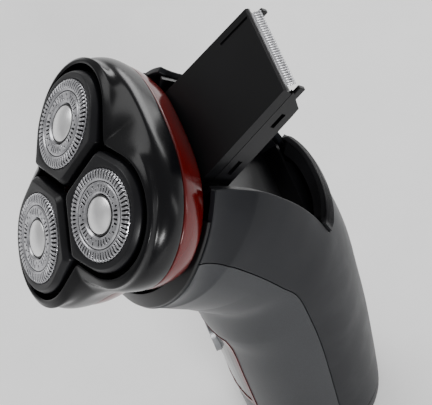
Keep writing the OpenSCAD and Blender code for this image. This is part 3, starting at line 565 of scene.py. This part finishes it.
SECTIONS = (
    ((-HALF_D * 0.66, 0), (HALF_D * 0.70, 0), HALF_W * 0.68),
    ((-HALF_D * 0.80, 0.9), (HALF_D * 0.84, 0.9), HALF_W * 0.80),
    ((-HALF_D * 0.87, 3.2), (HALF_D * 0.91, 3.2), HALF_W * 0.86),
    ((-HALF_D * 0.90, BASE_H), (HALF_D * 0.94, BASE_H), HALF_W * 0.89),
    ((-HALF_D * 0.93, FOLD_Z * 0.36), (HALF_D * 0.98, FOLD_Z * 0.36), HALF_W * 0.93),
    ((-HALF_D * 0.96, FOLD_Z * 0.66), (HALF_D * 1.02, FOLD_Z * 0.66), HALF_W * 0.97),
    ((-HALF_D * 0.98, FOLD_Z * 0.87), (HALF_D * 1.03, FOLD_Z * 0.93), HALF_W),
    ((-HALF_D * 1.05, FOLD_Z), (HALF_D * 1.03, FOLD_Z + 12), HALF_W * 1.02),
    (from_head(18.8, -55.5), from_head(HALF_D + 43.2, -45), HALF_W + 1.0),
    (from_head(13.6, -51.8), from_head(63.8, -33.5), HALF_W + 1.6),
    (from_head(8.8, -49.0), from_head(61.4, -22.5), HALF_W + 2.2),
    (from_head(5.2, -46.6), from_head(57.4, -11), HALF_W + 3.0),
    (from_head(3.3, -45.0), from_head(51, 1.5), HALF_W + 4.0),
    (on_collar(-32, -30), on_collar(36, -22), 30.2))
LAST = len(SECTIONS) - 1
SQUARE_BACK = 2.25
SQUARE_FRONT = 1.8


def curve(before, start, end, after, t):
    """A smooth way from start to end, which heads on towards after."""
    return (start + (end - before) * t / 2
            + (2 * before - 5 * start + 4 * end - after) * t * t / 2
            + (3 * start - before - 3 * end + after) * t * t * t / 2)


def section(s):
    """Front point, back point and half width between two rows of SECTIONS."""
    i = max(0, min(LAST - 1, math.floor(s)))
    near = [SECTIONS[k] for k in (max(0, i - 1), i, i + 1, min(LAST, i + 2))]
    flat = [(n[0][0], n[0][1], n[1][0], n[1][1], n[2]) for n in near]
    values = [curve(*(f[k] for f in flat), s - i) for k in range(5)]
    return Vector(values[0:2]), Vector(values[2:4]), values[4]


def power(value, exponent):
    return math.copysign(abs(value) ** exponent, value)


def skin(s, angle, inset=0.0):
    """A point of the skin: angle 0 is the front, 90 the right side, 180 the back."""
    front, back, half_width = section(s)
    half = (back - front).length / 2
    along = (back - front) / (2 * half)
    square = SQUARE_BACK
    if cos_of(angle) > 0:
        square = SQUARE_FRONT + (SQUARE_BACK - SQUARE_FRONT) * max(0, min(1, (10 - s) / 3))
    if s > LAST - 1:
        # a shallow hollow between the last two rows, under the collar
        inset += 0.8 * sin_of(180 * (s - LAST + 1))
    middle = (front + back) / 2 - along * (half - inset) * power(cos_of(angle), 2 / square)
    return Vector(((half_width - inset) * power(sin_of(angle), 2 / square), middle.x, middle.y))


def angle_at(s, x):
    """Angle at which the back of the skin is x to the right of the middle."""
    return 180 - math.degrees(math.asin((x / section(s)[2]) ** (SQUARE_BACK / 2)))


def steps(first, last, count):
    return [first + (last - first) * i / count for i in range(count + 1)]


# ---- Back shell --------------------------------------------------------------------
# The back and sides are one soft-touch moulding, broad at the shoulders, with
# the trimmer's opening cut into its back up to the collar.
SEAM_ANGLE = 98
SEAM = 0.3
OPENING_FROM = 8.5
OPENING_HALF = 17.3
OPENING_TAPER = 1.0
OPENING_FLARE = 4.4
FLARE_FROM = 9


def opening_half(s):
    flare = max(0, s - FLARE_FROM) / (LAST - FLARE_FROM)
    return (OPENING_HALF - OPENING_TAPER * (LAST - s) / (LAST - OPENING_FROM)
            + OPENING_FLARE * flare ** 1.4)


def soft_touch(at):
    cloud = at.noise(35, 4)
    grain = at.noise(4200, 2)
    rubbed = at.noise(110, 5).ramp((0.45, 0), (0.75, 1))
    return {"Base Color": cloud.blend(rgb(0.0045, 0.005, 0.0065), rgb(0.0075, 0.0082, 0.0105)),
            "Roughness": 0.42 + grain * 0.06 - rubbed * 0.07,
            "Normal": grain.bump(0.22, 0.00003)}


back_finish = finish("soft_touch_back", {"Specular IOR Level": 0.16}, soft_touch)
SIDE_COLUMNS = 34
MIDDLE_COLUMNS = 26
sections = steps(3, LAST, 160)
rows = []
for s in sections:
    edge = angle_at(s, opening_half(s))
    angles = steps(SEAM_ANGLE, edge, SIDE_COLUMNS) + steps(edge, 360 - edge, MIDDLE_COLUMNS)[1:]
    angles += steps(360 - edge, 360 - SEAM_ANGLE, SIDE_COLUMNS)[1:]
    rows.append([skin(s, a) for a in angles])


def outside_opening(r, c):
    return sections[r] < OPENING_FROM or c < SIDE_COLUMNS or c >= SIDE_COLUMNS + MIDDLE_COLUMNS


back_shell = grid("back_shell_moulding", rows, back_finish, keep=outside_opening)
thicken(back_shell, WALL)
round_edges(back_shell, 0.35)
fit(back_shell, "handle", "soft_touch", "back_shell")

# ---- Front shell -------------------------------------------------------------------
# The front is a second moulding in a fine metallic grey lacquer. It meets the
# back shell at a narrow seam and has the inlay's opening in the grip.
INLAY_ANGLE = 34
INLAY_FROM, INLAY_TO = 4, 6.75
CHEEK_COLUMNS, INLAY_COLUMNS = 30, 24


def grey_lacquer(at):
    cloud = at.noise(40, 3)
    flake = at.noise(6500, 1).ramp((0.45, 0), (0.62, 1))
    return {"Base Color": flake.blend(rgb(0.015, 0.016, 0.018), rgb(0.042, 0.044, 0.049)),
            "Roughness": 0.30 + cloud * 0.08 + flake * 0.05,
            "Metallic": 0.35 + flake * 0.3,
            "Normal": flake.bump(0.06, 0.00002)}


front_finish = finish("grey_lacquer_front", {"Specular IOR Level": 0.3}, grey_lacquer)
angles = (steps(SEAM - SEAM_ANGLE, -INLAY_ANGLE, CHEEK_COLUMNS)
          + steps(-INLAY_ANGLE, INLAY_ANGLE, INLAY_COLUMNS)[1:]
          + steps(INLAY_ANGLE, SEAM_ANGLE - SEAM, CHEEK_COLUMNS)[1:])


def outside_inlay(r, c):
    inlay = CHEEK_COLUMNS <= c < CHEEK_COLUMNS + INLAY_COLUMNS
    return not (INLAY_FROM <= sections[r] < INLAY_TO and inlay)


rows = [[skin(s, a) for a in angles] for s in sections]
front_shell = grid("front_shell_moulding", rows, front_finish, keep=outside_inlay)
thicken(front_shell, WALL, 1)
round_edges(front_shell, 0.25)
fit(front_shell, "handle", "silver_grey", "front_shell")

# ---- Collar ------------------------------------------------------------------------
# A black flange closes the body around the neck under the red ring. It is a
# satin moulding that lies on the shells' upper edges.
collar_finish = moulded("black_collar", rgb(0.003, 0.003, 0.0035), rgb(0.006, 0.006, 0.007),
                        0.35, 2500, 0.00002, **{"Specular IOR Level": 0.25})


def collar_row(t, up):
    """A line of the flange, t of the way in from its edge and up from its underside."""
    points = []
    for a in steps(-120, 120, 120):
        lift = 0.2 + 3.4 * t * cos_of(a / 2) ** 2 + up
        points.append(skin(LAST, a, 0.3 + 3.7 * t) + head_axis * lift)
    return points


collar = grid("neck_collar_flange", [collar_row(t, 1) for t in steps(0, 1, 6)] +
              [collar_row(t, 0) for t in steps(1, 0, 6)], collar_finish, wrap_rows=True)
round_edges(collar, 0.25)
fit(collar, "handle", "black_plastic", "neck_collar")

# ---- Trimmer cover -----------------------------------------------------------------
# The smooth lid of the trimmer is one satin black moulding. Its rear end is
# rolled over the hinge, and a long slit runs beside the blade.
hinge = joints["trimmer_fold"]
hinge_at = Vector(hinge["pos_m"])
TRIM_OPEN = 38.0
trimmer = Matrix.Translation(hinge_at) @ Matrix.Rotation(math.radians(TRIM_OPEN), 4, "X")
TRIM_W, TRIM_TIP_W, TRIM_L = 30.6, 28.6, 40.2
TRIM_TOP, COVER_T = 4.6, 3.1
SLIT_FROM, SLIT_TO, SLIT_DEEP = 2.1, 3.0, 0.5


def trim_half(y):
    return (TRIM_W + (TRIM_TIP_W - TRIM_W) * max(0, y) / TRIM_L) / 2


def trimmer_black(at):
    cloud = at.noise(45, 4)
    grain = at.noise(3800, 2)
    return {"Base Color": cloud.blend(rgb(0.0025, 0.0025, 0.003), rgb(0.005, 0.005, 0.006)),
            "Roughness": 0.30 + cloud * 0.10 + grain * 0.05,
            "Normal": grain.bump(0.12, 0.00002)}


cover_finish = finish("trimmer_black_satin", {"Specular IOR Level": 0.2}, trimmer_black)


def lid_ring(y, low, top):
    """Cross-section of the lid, with the slit sunk beside its far edge."""
    half = trim_half(y)
    slit = top - (SLIT_DEEP if TRIM_L - 13 < y < TRIM_L - 2.2 else 0)
    return [Vector(p) for p in (
        (-half, y, low), (-half, y, top), (-half + SLIT_FROM, y, top), (-half + SLIT_FROM + 0.1, y, slit),
        (-half + SLIT_TO - 0.1, y, slit), (-half + SLIT_TO, y, top), (0, y, top), (half, y, top),
        (half, y, low), (0, y, low))]


low = TRIM_TOP - COVER_T
rear = -math.sqrt(TRIM_TOP ** 2 - low ** 2)
# the rear end is rolled round the hinge, the tip slopes down to the comb
stations = [rear + 0.02] + [-TRIM_TOP * sin_of(a) for a in range(66, 0, -6)] + steps(0, TRIM_L - 13.2, 6)
rows = [lid_ring(y, low, math.sqrt(TRIM_TOP ** 2 - min(y, 0) ** 2)) for y in stations]
rows += [lid_ring(y, low, TRIM_TOP) for y in steps(TRIM_L - 12.9, TRIM_L - 2.3, 4) + [TRIM_L - 2.1]]
rows += [lid_ring(TRIM_L - 1.6, low + 2.1, TRIM_TOP), lid_ring(TRIM_L - 1.15, low + 1.9, TRIM_TOP - 0.65)]
cover = grid("trimmer_cover_lid", rows, cover_finish, trimmer, wrap_columns=True, end_caps=True)
round_edges(cover, 0.22, 3, 25)
fit(cover, "trimmer", "trimmer_black", "trimmer_cover")

# ---- Release slider ----------------------------------------------------------------
# The slider bridges the lower end of the opening and slides along it. It is a
# black moulding with six grip ridges across it.
slider_finish = moulded("slider_black", rgb(0.008, 0.008, 0.009), rgb(0.013, 0.013, 0.015),
                        0.34, 3000, 0.00003, **{"Specular IOR Level": 0.35})
SLIDER_FROM = OPENING_FROM + 0.01
SLIDER_LENGTH = 0.42
SLIDER_HALF = OPENING_HALF - 1.4
SLIDER_PROUD = 0.65
RIDGES = 6
RIDGE_HIGH = 0.45
rows = []
for i in range(73):
    s = SLIDER_FROM + SLIDER_LENGTH * i / 72
    edge = angle_at(s, SLIDER_HALF)
    wave = max(0, -cos_of(360 * RIDGES * i / 72)) ** 0.6 if 6 < i < 66 else 0
    rows.append([skin(s, a, -SLIDER_PROUD - RIDGE_HIGH * wave * min(1, min(k, 40 - k) / 3))
                 for k, a in enumerate(steps(edge, 360 - edge, 40))])
slider = grid("trimmer_slider_ridged", rows, slider_finish)
thicken(slider, 1.6)
round_edges(slider, 0.3, 3, 50)
fit(slider, "slider", "slider_grey", "trimmer_slider")

# ---- Trimmer housing ----------------------------------------------------------------
# The housing under the lid is a matt black tray with a knuckle round the hinge
# pin, two slots in each side and two hooked corners that guard the comb. Round
# caps close the knuckle's ends.
TRIM_UNDER = 4.8
TRAY_RIM = 1.35
housing_finish = moulded("trimmer_black_matt", rgb(0.003, 0.003, 0.0035), rgb(0.006, 0.006, 0.007),
                         0.38, 2800, 0.00003, **{"Specular IOR Level": 0.25})


def block(name, corner, far_corner, material, place=Matrix(), bevel=0.2):
    """A box between two corners with rounded edges."""
    (x0, y0, z0), (x1, y1, z1) = corner, far_corner
    ends = [[Vector((x, y, z)) for x, z in ((x0, z0), (x0, z1), (x1, z1), (x1, z0))] for y in (y0, y1)]
    made = grid(name, ends, material, place, wrap_columns=True, end_caps=True)
    round_edges(made, bevel)
    return made


def tray_row(y):
    """Cross-section of the housing: down one side, across and up the other."""
    half = trim_half(y)
    low = -math.sqrt(TRIM_UNDER ** 2 - min(y, 0) ** 2)
    heights = [TRAY_RIM + (low - TRAY_RIM) * t for t in (0, 0.374, 0.585, 0.94)]
    left = [Vector((-half, y, z)) for z in heights]
    row = left + [Vector((x, y, low)) for x in (0.4 - half, 0, half - 0.4)]
    row += [Vector((-p.x, y, p.z)) for p in reversed(left)]
    # the underside ends short of the comb
    shear = 0.75 * max(0, y - 31.5) / (TRIM_L - 32.9)
    return [Vector((p.x, p.y + shear * (p.z - TRAY_RIM), p.z)) for p in row]


SLOTS_AT = (8.5, 26.5)
stations = [-TRIM_UNDER * sin_of(a) for a in range(72, 0, -8)]
stations += [0, 4, SLOTS_AT[0], 13.5, 20, SLOTS_AT[1], 31.5, TRIM_L - 1.4]
housing = grid("trimmer_housing_tray", [tray_row(y) for y in stations], housing_finish, trimmer,
               keep=lambda r, c: not (c in (1, 8) and stations[r] in SLOTS_AT))
thicken(housing, 1.2)
round_edges(housing, 0.15)
fit(housing, "trimmer", "trimmer_black", "trimmer_base")
for name, edge in (("left", -1), ("right", 1)):
    x0, x1 = sorted((edge * (TRIM_TIP_W / 2 - 1.3), edge * (TRIM_TIP_W / 2)))
    hook = block("trimmer_hook_" + name, (x0, TRIM_L - 4.6, -1.4), (x1, TRIM_L + 0.5, 0.7),
                 housing_finish, trimmer, 0.3)
    fit(hook, "trimmer", "trimmer_black")
knuckle_cap = turned(((0.01, 0), (4.3, 0), (4.5, 0.1), (4.6, 0.3), (4.6, 0.5)), 36)
for name, edge in (("left", -1), ("right", 1)):
    rows = [[Vector((edge * (TRIM_W / 2 - p.z - 0.02), p.x, p.y)) for p in row] for row in knuckle_cap]
    cap = grid("trimmer_knuckle_" + name, rows, housing_finish, trimmer, wrap_columns=True)
    fit(cap, "trimmer", "trimmer_black")

# ---- Trimmer comb and blade ----------------------------------------------------------
# The comb is a ground steel strip with fine teeth, fixed in the housing's tip.
# The blade slides crosswise under it.
COMB_W = TRIM_TIP_W - 2.6
TOOTH = 0.26


def ground_steel(at):
    along = at.node("ShaderNodeMapping", {}, {"Vector": at, "Scale": (400, 9000, 9000)})
    line = along.noise(1.0, 3)
    cloud = at.noise(300, 3)
    return {"Base Color": cloud.blend(rgb(0.40, 0.40, 0.42), rgb(0.60, 0.60, 0.62)),
            "Roughness": 0.20 + line * 0.16,
            "Normal": line.bump(0.25, 0.00002)}


comb_finish = finish("ground_steel_comb", {"Metallic": 1.0}, ground_steel)
comb_place = (trimmer @ Matrix.Translation(Vector((0, TRIM_L - 1.9, low + 1.7)) * MM)
              @ Matrix.Rotation(math.radians(-40), 4, "X"))


def toothed(name, width, count, rows, place):
    """A strip whose last three rows are cut into teeth."""
    edges = [width * ((k + 0.5 + half) / count - 0.5) for k in range(count) for half in (-TOOTH, TOOTH)]
    lines = [[Vector((x, y, z)) for x in edges] for y, z in rows]
    made = grid(name, lines, comb_finish, place, keep=lambda r, c: r < len(rows) - 3 or c % 2 == 0)
    thicken(made, 0.4)
    return made


comb_rows = ((-0.4, 0.42), (0.3, 0.48), (1.4, 0.48), (2.6, 0.42), (2.98, 0.28))
comb = toothed("trimmer_comb_teeth", COMB_W, 32, comb_rows, comb_place)
fit(comb, "trimmer", "steel", "trimmer_comb")
blade_rows = ((0.2, -0.1), (1.5, -0.1), (2.4, -0.1), (2.8, -0.16))
blade = toothed("trimmer_blade_teeth", COMB_W - 3, 28, blade_rows, comb_place)
fit(blade, "trimmer_knife", "steel", "trimmer_blade")

# ---- Hinge of the trimmer -------------------------------------------------------------
# The trimmer turns on a hard steel pin in the well's side walls. A spring of
# drawn wire is wound round the pin and throws the trimmer open.
def plain(node, material):
    """A CAD node that is seen as it is, in its own finish."""
    mesh = frame["nodes"][node].data
    mesh.materials.clear()
    mesh.materials.append(material)


def drawn_wire(at):
    line = at.noise(3000, 3)
    return {"Base Color": line.blend(rgb(0.45, 0.45, 0.47), rgb(0.62, 0.62, 0.64)),
            "Roughness": line * 0.2 + 0.25}


wire_finish = finish("drawn_steel_wire", {"Metallic": 1.0}, drawn_wire)
plain("trimmer_pin", wire_finish)
plain("trimmer_spring", wire_finish)

# ---- Well of the trimmer ----------------------------------------------------------------
# The well is a dark moulding, fixed inside the back shell, with a catch for the
# folded trimmer.
well_finish = moulded("well_black", rgb(0.004, 0.004, 0.005), rgb(0.008, 0.008, 0.009),
                      0.34, 2600, 0.00003, **{"Specular IOR Level": 0.3})
plain("trimmer_bay", well_finish)

# ---- Drive in the head ------------------------------------------------------------------
# Cutters are pressed from hard steel, carried by steel spindles. Acetal gears,
# the hair chamber and the gear plate sit under them, driven by a brass pinion.
def hard_steel(at):
    line = at.noise(4000, 3)
    return {"Base Color": line.blend(rgb(0.30, 0.30, 0.31), rgb(0.46, 0.46, 0.47)),
            "Roughness": line * 0.2 + 0.28,
            "Normal": line.bump(0.2, 0.00001)}


cutter_finish = finish("hard_steel_cutter", {"Metallic": 1.0}, hard_steel)
spindle_finish = finish("turned_spindle", {"Metallic": 1.0}, drawn_wire)
acetal = moulded("acetal_white", rgb(0.68, 0.66, 0.58), rgb(0.76, 0.74, 0.66), 0.35, 1800, 0.00002)
for name in LOBES:
    plain("cutter_" + name, cutter_finish)
    plain("spindle_" + name, spindle_finish)
    plain("spindle_gear_" + name, acetal)
plain("centre_gear", acetal)
plain("motor_shaft", spindle_finish)


def machined_brass(at):
    line = at.noise(2500, 3)
    return {"Base Color": line.blend(rgb(0.55, 0.38, 0.14), rgb(0.72, 0.52, 0.24)),
            "Roughness": line * 0.2 + 0.2}


brass_finish = finish("machined_brass", {"Metallic": 1.0}, machined_brass)
plain("motor_pinion", brass_finish)
plain("socket_pin", brass_finish)
chamber_finish = moulded("chamber_black", rgb(0.012, 0.012, 0.014), rgb(0.020, 0.020, 0.022),
                         0.4, 2200, 0.00003)
for node in ("blade_retainer", "hair_chamber", "neck"):
    plain(node, chamber_finish)
lock_finish = moulded("lock_red", rgb(0.22, 0.012, 0.012), rgb(0.30, 0.02, 0.018), 0.35, 2200, 0.00002)
plain("retainer_lock", lock_finish)
gear_plate_finish = moulded("fibre_filled_grey", rgb(0.06, 0.062, 0.066), rgb(0.10, 0.103, 0.11),
                            0.5, 1500, 0.00004)
plain("gear_plate", gear_plate_finish)
plain("gear_screws", finish("zinc_screws", {"Metallic": 1.0}, drawn_wire))

# ---- Motor and its clamp ---------------------------------------------------------------
# A zinc-plated can motor hangs in a moulded clamp under the neck.
def zinc(at):
    spangle = at.node("ShaderNodeTexVoronoi", {}, {"Vector": at, "Scale": 900.0}, "Color")
    tone = spangle.node("ShaderNodeRGBToBW", {}, {0: spangle})
    return {"Base Color": tone.blend(rgb(0.42, 0.43, 0.45), rgb(0.56, 0.57, 0.59)),
            "Roughness": tone * 0.15 + 0.3}


plain("motor", finish("zinc_can", {"Metallic": 1.0}, zinc))
ivory = moulded("end_cap_ivory", rgb(0.70, 0.68, 0.60), rgb(0.76, 0.74, 0.66), 0.4, 1800, 0.00002)
plain("motor_end_cap", ivory)
plain("motor_clamp", chamber_finish)

# ---- Button panel -----------------------------------------------------------------------
# A glossy black inlay in a thin red frame carries the power button and a
# charge light behind a small frosted window. The front shell's opening holds it.
def gloss_panel(at):
    cloud = at.noise(60, 3)
    return {"Base Color": cloud.blend(rgb(0.002, 0.002, 0.0025), rgb(0.004, 0.004, 0.005)),
            "Roughness": cloud * 0.05 + 0.14,
            "Normal": at.noise(120, 1).bump(0.05, 0.0004)}


plain("button_panel", finish("gloss_black_inlay", {"Specular IOR Level": 0.35}, gloss_panel))
plain("red_accent", red_finish)


def brushed_grey(at):
    along = at.node("ShaderNodeMapping", {}, {"Vector": at, "Scale": (300, 300, 9000)})
    line = along.noise(1.0, 3)
    return {"Base Color": line.blend(rgb(0.16, 0.165, 0.175), rgb(0.24, 0.245, 0.255)),
            "Roughness": line * 0.15 + 0.25,
            "Normal": line.bump(0.2, 0.00002)}


plain("power_button", finish("brushed_button", {"Metallic": 0.7}, brushed_grey))


def frosted(at):
    fine = at.noise(2500, 2)
    return {"Base Color": fine.blend(rgb(0.70, 0.75, 0.78), rgb(0.80, 0.84, 0.87)),
            "Roughness": fine * 0.2 + 0.25}


plain("charge_lens", finish("frosted_lens", {"Transmission Weight": 0.5, "IOR": 1.49}, frosted))

# ---- Base ---------------------------------------------------------------------------------
# The base cap closes the handle and holds the round charging socket.
base_finish = moulded("base_black", rgb(0.004, 0.004, 0.005), rgb(0.008, 0.008, 0.009),
                      0.42, 2600, 0.00003, **{"Specular IOR Level": 0.2})
SOCKET_R, SOCKET_DEEP = 4.25, 7
rows = []
for s in (3, 2.97, 2.9, 2.6, 2.2, 1.9, 1.6, 1.3, 1.1, 0.9, 0.7, 0.5, 0.3, 0.15, 0.05, 0):
    # the top edge is drawn in a little, so that a seam shows under the shells
    inset = 0.35 if s == 3 else 0.12 if s == 2.97 else 0
    ring = [skin(s, a, inset) for a in range(0, 360, 4)]
    rows.append([Vector((p.x, p.y, max(0, min(p.z, BASE_H - 0.2)))) for p in ring])
for share in (0.7, 0.4):
    rows.append([Vector((p.x * share, p.y * share, 0.0)) for p in rows[-1]])
rows.append([polar(SOCKET_R, a - 90, 0) for a in range(0, 360, 4)])
rows.append([p + Vector((0, 0, SOCKET_DEEP)) for p in rows[-1]])
base = grid("base_cap_moulding", rows, base_finish, wrap_columns=True)
round_edges(base, 0.2)
fit(base, "handle", "black_plastic", "base_cap")
plain("charging_socket", chamber_finish)

# ---- Inside the handle ----------------------------------------------------------------------
# A moulded chassis carries the wrapped battery, its nickel tabs, the circuit
# board and the switch under the power button.
def shrink_wrap(at):
    cloud = at.noise(200, 3)
    return {"Base Color": cloud.blend(rgb(0.03, 0.16, 0.07), rgb(0.05, 0.22, 0.10)),
            "Roughness": cloud * 0.1 + 0.2}


def nickel(at):
    cloud = at.noise(800, 3)
    return {"Base Color": cloud.blend(rgb(0.55, 0.55, 0.52), rgb(0.68, 0.68, 0.65)),
            "Roughness": cloud * 0.2 + 0.2}


def solder_mask(at):
    track = at.node("ShaderNodeTexBrick", {"offset": 0.5}, {
        "Vector": at, "Color1": rgb(0.015, 0.10, 0.045), "Color2": rgb(0.02, 0.12, 0.055),
        "Mortar": rgb(0.03, 0.17, 0.08), "Scale": 260.0}, "Color")
    return {"Base Color": track, "Roughness": at.noise(900, 2) * 0.15 + 0.3}


plain("battery", finish("battery_wrap", {"Coat Weight": 0.4}, shrink_wrap))
plain("battery_tabs", finish("nickel_tabs", {"Metallic": 1.0}, nickel))
plain("main_board", finish("board_green", {}, solder_mask))
switch_white = moulded("switch_white", rgb(0.7, 0.7, 0.66), rgb(0.76, 0.76, 0.72), 0.4, 1500, 0.00002)
plain("button_switch", switch_white)
chassis_grey = moulded("chassis_grey", rgb(0.035, 0.036, 0.04), rgb(0.05, 0.051, 0.056), 0.5, 1800, 0.00004)
plain("chassis", chassis_grey)
